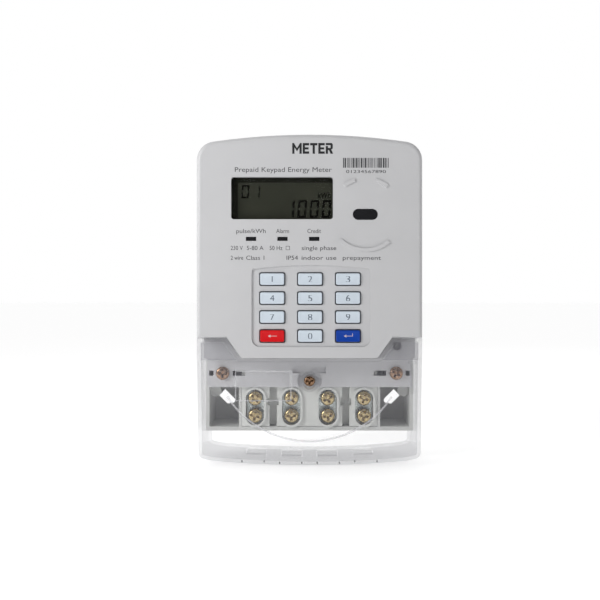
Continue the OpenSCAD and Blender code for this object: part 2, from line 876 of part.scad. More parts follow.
clamp_screw(term_xs[3], screw_zs[1]);  // clamp_screw_4_lower
case_screws();
cover_screw();
screw_insert();
display_board();
lcd_panel();
lcd_holder();
indicator_leds();
infrared_pair();
main_board();
board_screws();
board_link();
relay();
shunt();
load_busbar();
neutral_link();
transformer();
capacitors();
backup_battery();
buzzer();
cover_switch();
switch_plunger();
case_gasket();
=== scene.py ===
"""Looks of a keypad electricity meter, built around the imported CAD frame.

Lengths are in metres, +Z is up and the front faces -Y.
"""

import json
import math
import random

import bmesh
import bpy
from mathutils import Matrix, Vector


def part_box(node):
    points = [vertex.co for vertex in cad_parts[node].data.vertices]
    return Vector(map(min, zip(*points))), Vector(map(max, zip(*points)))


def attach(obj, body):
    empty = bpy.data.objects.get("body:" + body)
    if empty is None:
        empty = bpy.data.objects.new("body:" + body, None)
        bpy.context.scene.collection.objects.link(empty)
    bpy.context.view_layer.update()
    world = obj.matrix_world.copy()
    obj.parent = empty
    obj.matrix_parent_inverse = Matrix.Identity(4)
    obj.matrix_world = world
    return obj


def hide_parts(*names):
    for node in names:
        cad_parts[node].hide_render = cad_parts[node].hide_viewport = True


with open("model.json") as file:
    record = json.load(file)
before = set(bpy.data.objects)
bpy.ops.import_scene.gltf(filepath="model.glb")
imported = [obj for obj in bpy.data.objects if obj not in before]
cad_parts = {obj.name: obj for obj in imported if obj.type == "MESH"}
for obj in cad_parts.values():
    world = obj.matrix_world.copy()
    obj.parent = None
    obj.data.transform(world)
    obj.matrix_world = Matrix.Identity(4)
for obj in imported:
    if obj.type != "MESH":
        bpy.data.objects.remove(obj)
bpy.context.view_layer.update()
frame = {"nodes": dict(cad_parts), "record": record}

MM = 0.001
nodes = frame["nodes"]
scene = bpy.context.scene
rng = random.Random(7)


def centre(node):
    low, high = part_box(node)
    return (Vector(low) + Vector(high)) / 2


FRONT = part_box("front_cover")[0][1] + 0.8 * MM  # the probe ridges stand 0.8 mm proud of the face
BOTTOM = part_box("terminal_cover")[0][2]


# ---- camera, light and floor -------------------------------------------------


def make_camera():
    view_width = 318 * MM  # what the frame takes in, at the front face
    distance = 525 * MM
    cam = bpy.data.cameras.new("camera")
    cam.sensor_width = 36
    cam.lens = cam.sensor_width * distance / view_width
    cam.shift_x = -0.0158
    cam.clip_start = 0.01
    obj = bpy.data.objects.new("camera", cam)
    scene.collection.objects.link(obj)
    obj.location = (0, FRONT - distance, 0)
    obj.rotation_euler = (math.pi / 2, 0, 0)
    scene.camera = obj


def area_light(name, place, size, power):
    """A round white light that points at the middle of the meter."""
    target = Vector((0, -0.03, 0))
    light = bpy.data.lights.new(name, "AREA")
    light.shape = "DISK"
    light.size = size
    light.energy = power
    obj = bpy.data.objects.new(name, light)
    scene.collection.objects.link(obj)
    obj.location = place
    obj.rotation_euler = (target - Vector(place)).to_track_quat("-Z", "Y").to_euler()


def make_world():
    """A white room for the camera; what the surfaces see is dimmer in front of the meter and lower down."""
    front_level, back_level, rise = 0.07, 0.75, 0.35
    world = bpy.data.worlds.new("studio")
    scene.world = world
    world.use_nodes = True
    tree = world.node_tree
    place = tree.nodes.new("ShaderNodeTexCoord")
    split = tree.nodes.new("ShaderNodeSeparateXYZ")
    spread = tree.nodes.new("ShaderNodeMapRange")
    spread.inputs["From Min"].default_value = -0.35
    spread.inputs["From Max"].default_value = 0.35
    spread.inputs["To Min"].default_value = front_level
    spread.inputs["To Max"].default_value = back_level
    lift = tree.nodes.new("ShaderNodeMath")
    lift.operation = "MULTIPLY_ADD"
    lift.inputs[1].default_value = rise
    seen = tree.nodes.new("ShaderNodeLightPath")
    white = tree.nodes.new("ShaderNodeMath")
    white.operation = "MAXIMUM"
    tree.links.new(place.outputs["Generated"], split.inputs["Vector"])
    tree.links.new(split.outputs["Y"], spread.inputs["Value"])
    tree.links.new(split.outputs["Z"], lift.inputs[0])
    tree.links.new(spread.outputs["Result"], lift.inputs[2])
    tree.links.new(lift.outputs["Value"], white.inputs[0])
    tree.links.new(seen.outputs["Is Camera Ray"], white.inputs[1])
    background = tree.nodes["Background"]
    background.inputs["Color"].default_value = (1, 1, 1, 1)
    tree.links.new(white.outputs["Value"], background.inputs["Strength"])


def make_floor():
    mesh = bpy.data.meshes.new("floor")
    size = 30
    z = BOTTOM - 0.2 * MM
    corners = [(-size, -size, z), (size, -size, z), (size, size, z), (-size, size, z)]
    mesh.from_pydata(corners, [], [(0, 1, 2, 3)])
    floor = bpy.data.objects.new("floor", mesh)
    scene.collection.objects.link(floor)
    paper = bpy.data.materials.new("floor_paper")
    paper.use_nodes = True
    shader = paper.node_tree.nodes["Principled BSDF"]
    shader.inputs["Base Color"].default_value = (0.9, 0.9, 0.9, 1)
    shader.inputs["Roughness"].default_value = 0.9
    shader.inputs["Emission Color"].default_value = (1, 1, 1, 1)
    shader.inputs["Emission Strength"].default_value = 0.38
    mesh.materials.append(paper)


def make_studio():
    scene.view_settings.view_transform = "Standard"
    make_world()
    area_light("key_light", (-0.46, -0.4, 0.2), 0.25, 2.0)
    area_light("back_light", (0.4, 0.8, 0.7), 0.6, 0.5)
    make_floor()


make_camera()
make_studio()


# ---- materials ---------------------------------------------------------------


class Paint:
    """A Principled material with procedural colour variation and relief."""

    def __init__(self, name, colour, roughness, metallic=0.0, **sockets):
        self.material = bpy.data.materials.new(name)
        self.material.use_nodes = True
        self.tree = self.material.node_tree
        self.shader = self.tree.nodes["Principled BSDF"]
        self.colour = (*colour, 1)
        self.set("Base Color", self.colour)
        self.set("Roughness", roughness)
        self.set("Metallic", metallic)
        for socket, value in sockets.items():
            self.set(socket.replace("_", " "), value)
        self.normal = None

    def set(self, socket, value):
        self.shader.inputs[socket].default_value = value

    def node(self, kind, **values):
        made = self.tree.nodes.new(kind)
        for key, value in values.items():
            if hasattr(made, key):
                setattr(made, key, value)
            else:
                made.inputs[key.replace("_", " ")].default_value = value
        return made

    def link(self, out, into):
        self.tree.links.new(out, into)

    def noise(self, scale, detail=2.0, roughness=0.5, stretch=None):
        place = self.node("ShaderNodeTexCoord")
        out = place.outputs["Object"]
        if stretch:
            mapping = self.node("ShaderNodeMapping")
            mapping.inputs["Scale"].default_value = stretch
            self.link(out, mapping.inputs["Vector"])
            out = mapping.outputs["Vector"]
        noise = self.node("ShaderNodeTexNoise", Scale=scale, Detail=detail, Roughness=roughness)
        self.link(out, noise.inputs["Vector"])
        return noise.outputs["Fac"]

    def mottle(self, scale, low, high, stretch=None, detail=3.0):
        """Varies the base colour between low and high times itself."""
        ramp = self.node("ShaderNodeValToRGB")
        ramp.color_ramp.elements[0].position = 0.3
        ramp.color_ramp.elements[1].position = 0.7
        ramp.color_ramp.elements[0].color = (*(c * low for c in self.colour[:3]), 1)
        ramp.color_ramp.elements[1].color = (*(min(c * high, 1) for c in self.colour[:3]), 1)
        self.link(self.noise(scale, detail, stretch=stretch), ramp.inputs["Fac"])
        self.link(ramp.outputs["Color"], self.shader.inputs["Base Color"])
        return self

    def rough(self, scale, low, high, stretch=None):
        spread = self.node("ShaderNodeMapRange")
        spread.inputs["From Min"].default_value = 0.3
        spread.inputs["From Max"].default_value = 0.7
        spread.inputs["To Min"].default_value = low
        spread.inputs["To Max"].default_value = high
        self.link(self.noise(scale, stretch=stretch), spread.inputs["Value"])
        self.link(spread.outputs["Result"], self.shader.inputs["Roughness"])
        return self

    def bump(self, scale, depth, stretch=None, detail=2.0):
        relief = self.node("ShaderNodeBump", Strength=1.0, Distance=depth)
        self.link(self.noise(scale, detail, stretch=stretch), relief.inputs["Height"])
        if self.normal:
            self.link(self.normal, relief.inputs["Normal"])
        self.normal = relief.outputs["Normal"]
        self.link(self.normal, self.shader.inputs["Normal"])
        return self


def clear_paint(name, colour, face_alpha, edge_alpha, roughness):
    """Clear moulding: faint where it faces the eye, denser and greyer where it is seen along a wall."""
    paint = Paint(name, colour, roughness)
    facing = paint.node("ShaderNodeLayerWeight", Blend=0.35)
    tint = paint.node("ShaderNodeValToRGB")
    tint.color_ramp.elements[0].position = 0.4
    tint.color_ramp.elements[0].color = paint.colour
    tint.color_ramp.elements[1].position = 0.8
    tint.color_ramp.elements[1].color = (*(0.72 * c for c in colour), 1)
    paint.link(facing.outputs["Facing"], tint.inputs["Fac"])
    paint.link(tint.outputs["Color"], paint.shader.inputs["Base Color"])
    spread = paint.node("ShaderNodeMapRange")
    spread.inputs["From Min"].default_value = 0.4
    spread.inputs["To Min"].default_value = face_alpha
    spread.inputs["To Max"].default_value = edge_alpha
    paint.link(facing.outputs["Facing"], spread.inputs["Value"])
    paint.link(spread.outputs["Result"], paint.shader.inputs["Alpha"])
    return paint


def make_materials():
    made = {
        "cover_plastic": Paint("cover_plastic", (0.545, 0.545, 0.555), 0.42)
        .mottle(60, 0.985, 1.015).rough(500, 0.38, 0.48).bump(2600, 0.00003),
        "base_plastic": Paint("base_plastic", (0.59, 0.597, 0.575), 0.5)
        .mottle(60, 0.97, 1.02).rough(400, 0.45, 0.58).bump(2200, 0.00004),
        "block_plastic": Paint("block_plastic", (0.68, 0.69, 0.66), 0.45)
        .mottle(90, 0.96, 1.03).rough(500, 0.4, 0.55).bump(2400, 0.00003),
        "clear_plastic": clear_paint("clear_plastic", (0.56, 0.56, 0.61), 0.08, 0.62, 0.08),
        "display_pane": clear_paint("display_pane", (0.05, 0.052, 0.045), 0.06, 0.3, 0.05),
        "dark_window": Paint("dark_window", (0.012, 0.012, 0.014), 0.12)
        .mottle(200, 0.9, 1.1).bump(900, 0.00001),
        "key_white": Paint("key_white", (0.60, 0.67, 0.74), 0.32, Specular_IOR_Level=0.35)
        .mottle(120, 0.98, 1.02).bump(1800, 0.00001),
        "key_red": Paint("key_red", (0.64, 0.004, 0.008), 0.34, Specular_IOR_Level=0.25)
        .mottle(120, 0.95, 1.04).bump(1800, 0.00001),
        "key_blue": Paint("key_blue", (0.0005, 0.045, 0.34), 0.34, Specular_IOR_Level=0.25)
        .mottle(120, 0.93, 1.05).bump(1800, 0.00001),
        # The dark grey is partly the mat's own colour and partly painted shade of the gaps round the keys.
        "silicone": Paint("silicone", (0.20, 0.21, 0.23), 0.6)
        .mottle(150, 0.95, 1.05).bump(1500, 0.00002),
        "brass": Paint("brass", (0.55, 0.60, 0.58), 0.28, 1.0)
        .mottle(300, 0.85, 1.1).rough(700, 0.2, 0.4, (1, 8, 1)).bump(1200, 0.00002, (1, 10, 1)),
        "plate_steel": Paint("plate_steel", (0.52, 0.57, 0.60), 0.3, 1.0)
        .mottle(300, 0.85, 1.1).bump(1500, 0.00002, (6, 1, 1)),
        "screw_gold": Paint("screw_gold", (0.56, 0.44, 0.22), 0.25, 1.0)
        .mottle(500, 0.88, 1.08).rough(900, 0.18, 0.3).bump(2500, 0.000003),
        "screw_bronze": Paint("screw_bronze", (0.33, 0.20, 0.12), 0.2, 1.0)
        .mottle(500, 0.88, 1.1).rough(900, 0.18, 0.3).bump(2500, 0.000003),
        "circuit_board": Paint("circuit_board", (0.01, 0.11, 0.045), 0.35)
        .mottle(400, 0.7, 1.2).bump(900, 0.00002),
        "display_glass": Paint("display_glass", (0.034, 0.036, 0.026), 0.35, Specular_IOR_Level=0.05)
        .mottle(25, 0.92, 1.08).bump(400, 0.000005),
        "white_plastic": Paint("white_plastic", (0.72, 0.72, 0.69), 0.45)
        .mottle(120, 0.96, 1.03).bump(1800, 0.00002),
        "led_resin": Paint("led_resin", (0.70, 0.66, 0.60), 0.15).mottle(300, 0.9, 1.05),
        "infrared_resin": Paint("infrared_resin", (0.02, 0.012, 0.025), 0.12).mottle(300, 0.8, 1.1),
        "bright_steel": Paint("bright_steel", (0.62, 0.62, 0.62), 0.25, 1.0)
        .mottle(500, 0.85, 1.1).bump(2500, 0.00001),
        "black_plastic": Paint("black_plastic", (0.02, 0.02, 0.022), 0.42)
        .mottle(150, 0.85, 1.2).bump(2200, 0.00003),
        "copper": Paint("copper", (0.72, 0.33, 0.19), 0.3, 1.0)
        .mottle(200, 0.8, 1.1).bump(1200, 0.00002, (1, 1, 8)),
        "lamination_steel": Paint("lamination_steel", (0.12, 0.115, 0.11), 0.45, 0.6)
        .mottle(200, 0.7, 1.3).bump(900, 0.0001, (0.05, 3, 0.05)),
        "capacitor_sleeve": Paint("capacitor_sleeve", (0.015, 0.05, 0.22), 0.3)
        .mottle(150, 0.9, 1.1),
        "battery_sleeve": Paint("battery_sleeve", (0.16, 0.26, 0.22), 0.3)
        .mottle(150, 0.9, 1.1),
        "seal_rubber": Paint("seal_rubber", (0.015, 0.015, 0.015), 0.7)
        .mottle(150, 0.8, 1.2).bump(2000, 0.00003),
    }
    return {name: paint.material for name, paint in made.items()}


MATERIALS = make_materials()
# Painted highlight: the moulded ridges inside the clear cover are whitened for the light they catch.
RIDGE_HIGHLIGHT = clear_paint("clear_ridge_painted_highlight", (0.86, 0.86, 0.88), 0.3, 0.8, 0.15).material
# Painted shade: darker grey sheets for the shade over the clear cover's shoulders, where the front cover's
# step shades the shelf behind.
SHOULDER_SHADE = clear_paint("clear_lip", (0.30, 0.295, 0.33), 0.16, 0.7, 0.1).material
# Painted shade: small dark plates for the shadow in the knock-out slots at the bottom of the clear cover.
SLOT_SHADE = clear_paint("clear_slot_painted_shade", (0.07, 0.07, 0.08), 0.55, 0.8, 0.3).material
INK = Paint("ink_grey", (0.035, 0.035, 0.04), 0.5).mottle(300, 0.9, 1.15).material
DIGIT_INK = Paint("key_digit_ink", (0.11, 0.14, 0.18), 0.45).mottle(300, 0.9, 1.1).material
PALE_INK = Paint("key_arrow_ink", (0.62, 0.50, 0.50), 0.45).mottle(300, 0.9, 1.1).material
segment = Paint("display_segment", (0.0015, 0.0015, 0.001), 0.5, Specular_IOR_Level=0.03)
SEGMENT_INK = segment.mottle(300, 0.8, 1.2).material
# Colour of the dark band at the left and top of the LCD: its dark border, with the window's shadow painted
# into it.
shade = Paint("display_shade", (0.012, 0.012, 0.009), 0.5, Specular_IOR_Level=0.05)
BORDER_AND_SHADOW_INK = shade.mottle(60, 0.9, 1.1).material
TITLE_INK = Paint("ink_dark", (0.012, 0.012, 0.014), 0.45).mottle(300, 0.9, 1.15).material


# ---- carried-over CAD nodes --------------------------------------------------


def soften(node, width, segments=3, angle=35):
    """Rounds a CAD node's edges with modifiers, which leave its mesh as it is."""
    obj = nodes[node]
    weld = obj.modifiers.new("weld", "WELD")
    weld.merge_threshold = 2e-6
    flat = obj.modifiers.new("flatten", "DECIMATE")
    flat.decimate_type = "DISSOLVE"
    flat.angle_limit = math.radians(0.5)
    bevel = obj.modifiers.new("bevel", "BEVEL")
    bevel.width = width
    bevel.segments = segments
    bevel.limit_method = "ANGLE"
    bevel.angle_limit = math.radians(angle)
    bevel.use_clamp_overlap = True
    bevel.harden_normals = False
    smooth = obj.modifiers.new("normals", "WEIGHTED_NORMAL")
    smooth.keep_sharp = True
    for polygon in obj.data.polygons:
        polygon.use_smooth = True


def dress_nodes():
    """Gives each carried-over node the material of its slot."""
    for part in frame["record"]["subparts"]:
        obj = nodes[part["node"]]
        obj.data.materials.clear()
        obj.data.materials.append(MATERIALS[part["material_slot"]])


dress_nodes()
for name, width in (
    ("front_cover", 0.35 * MM),
    ("base_housing", 0.4 * MM),
    ("terminal_chamber", 0.3 * MM),
    ("terminal_cover", 0.12 * MM),
    ("terminal_block", 0.35 * MM),
    ("busbar_guide", 0.3 * MM),
    ("display_window", 0.2 * MM),
    ("optical_window", 0.15 * MM),
    ("indicator_lenses", 0.12 * MM),
):
    soften(name, width)

# ---- mesh helpers ------------------------------------------------------------


def finish_mesh(bm, name, material, body, angle=40):
    """Turns a bmesh into a piece with smooth faces and sharp corners that rides on a body."""
    bmesh.ops.remove_doubles(bm, verts=bm.verts, dist=1e-7)
    bmesh.ops.recalc_face_normals(bm, faces=bm.faces)
    mesh = bpy.data.meshes.new(name)
    bm.to_mesh(mesh)
    bm.free()
    return add_piece(mesh, name, material, body, angle)


def add_piece(mesh, name, material, body, angle=40):
    mesh.materials.clear()
    mesh.materials.append(material)
    for polygon in mesh.polygons:
        polygon.use_smooth = True
    mesh.set_sharp_from_angle(angle=math.radians(angle))
    obj = bpy.data.objects.new(name, mesh)
    scene.collection.objects.link(obj)
    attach(obj, body)
    return obj


def rounded_rect(half_w, half_h, radius, steps=6):
    """Points (x, z) of a rectangle with round corners, anticlockwise about its centre."""
    points = []
    for quarter, (sx, sz) in enumerate(((1, 1), (-1, 1), (-1, -1), (1, -1))):
        for step in range(steps + 1):
            turn = math.pi / 2 * (quarter + step / steps)
            points.append((sx * (half_w - radius) + radius * math.cos(turn),
                           sz * (half_h - radius) + radius * math.sin(turn)))
    return points


def loft(bm, rings):
    """Joins rings of equal length and closes both ends."""
    made = [[bm.verts.new(point) for point in ring] for ring in rings]
    count = len(made[0])
    for low, high in zip(made, made[1:]):
        for i in range(count):
            j = (i + 1) % count
            bm.faces.new((low[i], low[j], high[j], high[i]))
    bm.faces.new(made[0][::-1])
    bm.faces.new(made[-1])


def pad_rings(centre_xz, half_w, half_h, corner, levels):
    """One ring for each (y, inset) level of a pad with a rounded-rectangle outline."""
    cx, cz = centre_xz
    rings = []
    for y, inset in levels:
        outline = rounded_rect(half_w - inset, half_h - inset, max(corner - inset, 0.1 * MM))
        rings.append([(cx + x, y, cz + z) for x, z in outline])
    return rings


def round_edge(front, radius, steps=5):
    """(y, inset) levels of a rounded front edge that ends at y = front."""
    turns = [math.pi / 2 * step / steps for step in range(steps + 1)]
    return [(front + radius * (1 - math.sin(turn)), radius * (1 - math.cos(turn))) for turn in turns]


def prism(bm, outline, back, front):
    """A straight plate from an outline of (x, z) points."""
    loft(bm, [[(x, back, z) for x, z in outline], [(x, front, z) for x, z in outline]])


def bar(bm, x0, x1, z0, z1, back, front):
    prism(bm, [(x0, z0), (x1, z0), (x1, z1), (x0, z1)], back, front)


def frame_bars(bm, x0, x1, z0, z1, line, back, front):
    """A rectangular frame of four bars, each as wide as line."""
    bar(bm, x0, x1, z0, z0 + line, back, front)
    bar(bm, x0, x1, z1 - line, z1, back, front)
    bar(bm, x0, x0 + line, z0 + line, z1 - line, back, front)
    bar(bm, x1 - line, x1, z0 + line, z1 - line, back, front)


def text_mesh(text, weight=0.0, shear=0.0):
    """Raised lettering in the X-Z plane, facing -Y, one unit high."""
    curve = bpy.data.curves.new("lettering", "FONT")
    curve.body = text
    curve.size = 1
    curve.resolution_u = 3
    curve.extrude = 0.5
    curve.offset = weight
    curve.shear = shear
    obj = bpy.data.objects.new("lettering", curve)
    scene.collection.objects.link(obj)
    mesh = bpy.data.meshes.new_from_object(obj.evaluated_get(bpy.context.evaluated_depsgraph_get()))
    bpy.data.objects.remove(obj)
    bpy.data.curves.remove(curve)
    mesh.transform(Matrix.Rotation(math.pi / 2, 4, "X"))
    return mesh


def write_text(bm, text, x0, x1, z0, height, back, front, weight=0.0, shear=0.0):
    """Adds lettering that fills x0 to x1; height is that of its tallest letter."""
    mesh = text_mesh(text, weight, shear)
    xs = [v.co.x for v in mesh.vertices]
    tall = text_mesh("0", weight)
    top = max(v.co.z for v in tall.vertices)
    scale_x = (x1 - x0) / (max(xs) - min(xs))
    scale_z = height / top
    for vertex in mesh.vertices:
        depth = 0.5 - vertex.co.y
        vertex.co = (x0 + (vertex.co.x - min(xs)) * scale_x, back + (front - back) * depth,
                     z0 + vertex.co.z * scale_z)
    bm.from_mesh(mesh)
    bpy.data.meshes.remove(mesh)
    bpy.data.meshes.remove(tall)


# Heavy block letters: each one's width and its closed outline, one unit high.
STROKE = 0.24
BLOCK_LETTERS = {
    "M": (1.0, [(0, 0), (STROKE, 0), (STROKE, 0.6), (0.5, 0.22), (1 - STROKE, 0.6), (1 - STROKE, 0),
                (1, 0), (1, 1), (0.82, 1), (0.5, 0.52), (0.18, 1), (0, 1)]),
    "E": (0.68, [(0, 0), (0.68, 0), (0.68, 0.22), (STROKE, 0.22), (STROKE, 0.4), (0.62, 0.4),
                 (0.62, 0.6), (STROKE, 0.6), (STROKE, 0.78), (0.68, 0.78), (0.68, 1), (0, 1)]),
    "T": (0.76, [(0.26, 0), (0.5, 0), (0.5, 0.78), (0.76, 0.78), (0.76, 1), (0, 1), (0, 0.78),
                 (0.26, 0.78)]),
    "R": (0.76, [(0, 0), (STROKE, 0), (STROKE, 0.34), (0.34, 0.34), (0.5, 0), (0.78, 0), (0.58, 0.4),
                 (0.74, 0.5), (0.74, 0.88), (0.62, 1), (0, 1), (0, 0.8), (0.5, 0.8), (0.5, 0.54),
                 (STROKE, 0.54), (STROKE, 0.72), (0, 0.72)]),
}


def write_block_letters(bm, text, x0, x1, z0, height, back, front):
    """Heavy lettering that fills x0 to x1."""
    spacing = 0.1
    total = sum(BLOCK_LETTERS[letter][0] for letter in text) + spacing * (len(text) - 1)
    scale = (x1 - x0) / total
    x = x0
    for letter in text:
        width, outline = BLOCK_LETTERS[letter]
        prism(bm, [(x + u * scale, z0 + v * height) for u, v in outline], back, front)
        x += (width + spacing) * scale


# ---- keys --------------------------------------------------------------------

FLANGE_OVERLAP = 1.45 * MM  # how far a key's flange reaches past its cap
CAP_CORNER = 0.9 * MM
CAP_ROUND = 0.4 * MM
DISH = 0.14 * MM
DIGIT_HEIGHT = 3.7 * MM


def key_pad(node):
    """A key's middle, half width, half height, front and back."""
    low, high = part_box(node)
    return centre(node), (high[0] - low[0]) / 2, (high[2] - low[2]) / 2, low[1], high[1]


def make_key(node, material):
    """A dished cap, and the dark rubbery flange that shows round it; the flange's dark grey is partly its
    own colour and partly painted shade of the gap round the cap.
    """
    middle, half_w, half_h, front, back = key_pad(node)
    place = (middle.x, middle.z)
    cap_w, cap_h = half_w - FLANGE_OVERLAP, half_h - FLANGE_OVERLAP
    levels = [(back - 0.9 * MM, 0.0)] + round_edge(front, CAP_ROUND)
    rings = pad_rings(place, cap_w, cap_h, CAP_CORNER, levels)
    for share, sink in ((0.12, 0.25), (0.3, 0.7), (0.6, 1.0)):
        inset = CAP_ROUND + share * cap_h
        outline = rounded_rect(cap_w - inset, cap_h - inset, CAP_CORNER * (1 - share))
        rings.append([(place[0] + x, front + DISH * sink, place[1] + z) for x, z in outline])
    bm = bmesh.new()
    loft(bm, rings)
    cap = finish_mesh(bm, node + "_cap", material, node, 50)
    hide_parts(node)
    # Painted shade in part: the flange is dark grey so that the gap round the cap reads dark.
    bm = bmesh.new()
    flange_front = back - 0.8 * MM
    levels = [(back, 0.0)] + round_edge(flange_front, 0.2 * MM, 2)
    loft(bm, pad_rings(place, half_w, half_h, 1 * MM, levels))
    finish_mesh(bm, node + "_flange", MATERIALS["silicone"], node)


def mark_levels(node):
    """Back and front of what is printed in the dish of a key."""
    low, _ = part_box(node)
    return low[1] + DISH + 0.06 * MM, low[1] + DISH - 0.03 * MM


def make_digit(node, text):
    middle = centre(node)
    back, front = mark_levels(node)
    half = (0.62 if text != "1" else 0.13) * DIGIT_HEIGHT / 2
    bm = bmesh.new()
    bottom = middle.z - DIGIT_HEIGHT / 2
    write_text(bm, text, middle.x - half, middle.x + half, bottom, DIGIT_HEIGHT, back, front)
    finish_mesh(bm, node + "_digit", DIGIT_INK, node)


def arrow_outline(hooked):
    """A left arrow; hooked adds the upright of a return sign at its right end."""
    tip, tail, head, half_head, half_shaft = -2.3 * MM, 2.5 * MM, -0.9 * MM, 0.75 * MM, 0.14 * MM
    lower = [(tip, 0), (head, -half_head), (head, -half_shaft), (tail, -half_shaft)]
    upper = [(tail, half_shaft), (head, half_shaft), (head, half_head)]
    if hooked:
        upright = 1.7 * MM
        inner = tail - 2 * half_shaft
        upper = [(tail, upright), (inner, upright), (inner, half_shaft)] + upper[1:]
    return lower + upper


def make_arrow(node, hooked):
    middle = centre(node)
    back, front = mark_levels(node)
    bm = bmesh.new()
    prism(bm, [(middle.x + x, middle.z + z) for x, z in arrow_outline(hooked)], back, front)
    finish_mesh(bm, node + "_arrow", PALE_INK, node)


def make_keypad():
    for digit in range(10):
        make_key(f"key_{digit}", MATERIALS["key_white"])
        make_digit(f"key_{digit}", str(digit))
    make_key("key_clear", MATERIALS["key_red"])
    make_arrow("key_clear", False)
    make_key("key_enter", MATERIALS["key_blue"])
    make_arrow("key_enter", True)


# ---- display -----------------------------------------------------------------

# The bars that each figure lights, clockwise: a is the top one, d the bottom one, f the upper left one.
LIT_BARS = {"0": "abcdef", "1": "bc"}


def seven_segment(bm, figure, x0, z0, width, height, back, front):
    """One figure of slanted bars with mitred ends."""
    thick = 0.13 * height
    gap = 0.02 * height
    lean = 0.08
    mid = height / 2

    def slanted(points):
        prism(bm, [(x0 + x + lean * z, z0 + z) for x, z in points], back, front)

    def flat(z, mitre_up, mitre_down):
        low, high = gap + mitre_down, gap + mitre_up
        slanted([(low, z), (width - low, z), (width - high, z + thick), (high, z + thick)])

    def upright(x, z_low, z_high, outer_left):
        cut = [0, thick * 0.6] if outer_left else [thick * 0.6, 0]
        slanted([(x, z_low + cut[0]), (x + thick, z_low + cut[1]), (x + thick, z_high - cut[1]),
                 (x, z_high - cut[0])])

    lit = LIT_BARS[figure]
    if "a" in lit:
        flat(height - thick, 0, thick)
    if "d" in lit:
        flat(0, thick, 0)
    right_x = width - thick
    for name, x, low_half, left in (("b", right_x, False, False), ("c", right_x, True, False),
                                    ("e", 0, True, True), ("f", 0, False, True)):
        if name in lit:
            z_low, z_high = (gap, mid - gap) if low_half else (mid + gap, height - gap)
            upright(x, z_low, z_high, left)


def make_display():
    """Dark figures, and the LCD's dark border at the left and top with the window's shadow painted into it,
    on the front of the display panel.
    """
    low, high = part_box("lcd_panel")
    open_low, open_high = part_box("display_window")
    rim = 2 * MM  # the window pane is held by this much behind the front
    left, right = open_low[0] + rim, open_high[0] - rim
    bottom, top = open_low[2] + rim, open_high[2] - rim
    back, front = low[1] + 0.02 * MM, low[1] - 0.05 * MM
    bm = bmesh.new()
    small, big = 7.0 * MM, 9.6 * MM
    small_z, big_z, unit_z = top - 10.9 * MM, bottom + 1.0 * MM, bottom + 11.6 * MM
    for i, figure in enumerate("01"):
        x = left + (5.0 + 5.8 * i) * MM
        seven_segment(bm, figure, x, small_z, 4.1 * MM, small, back, front)
    for i, figure in enumerate("1000"):
        x = right - (25.6 - 6.5 * i) * MM
        seven_segment(bm, figure, x, big_z, 4.7 * MM, big, back, front)
    write_text(bm, "kWh", right - 8 * MM, right - 1.2 * MM, unit_z, 3.2 * MM, back, front, 0.02, 0.1)
    finish_mesh(bm, "display_figures", SEGMENT_INK, "meter")
    # Painted shadow: a dark band along the left and top of the LCD stands for its dark border and for the
    # shadow that the window's edges cast on it.
    bm = bmesh.new()
    side, upper = 3.4 * MM, 2.6 * MM
    edge_x, edge_z = left + side, top - upper
    outline = [(low[0], low[2]), (edge_x, low[2]), (edge_x, edge_z), (high[0], edge_z),
               (high[0], high[2]), (low[0], high[2])]
    prism(bm, outline, back, low[1] - 0.03 * MM)
    finish_mesh(bm, "display_border_and_painted_shadow", BORDER_AND_SHADOW_INK, "meter")


# ---- printing on the front ---------------------------------------------------


def make_barcode(bm, left, right, bottom, top, back, front):
    """Bars of random width, which stand for no number."""
    x = left
    while x < right - 0.9 * MM:
        width = rng.choice((0.28, 0.28, 0.5, 0.75)) * MM
        bar(bm, x, x + width, bottom, top, back, front)
        x += width + rng.choice((0.3, 0.3, 0.55)) * MM
    bar(bm, right - 0.4 * MM, right, bottom, top, back, front)


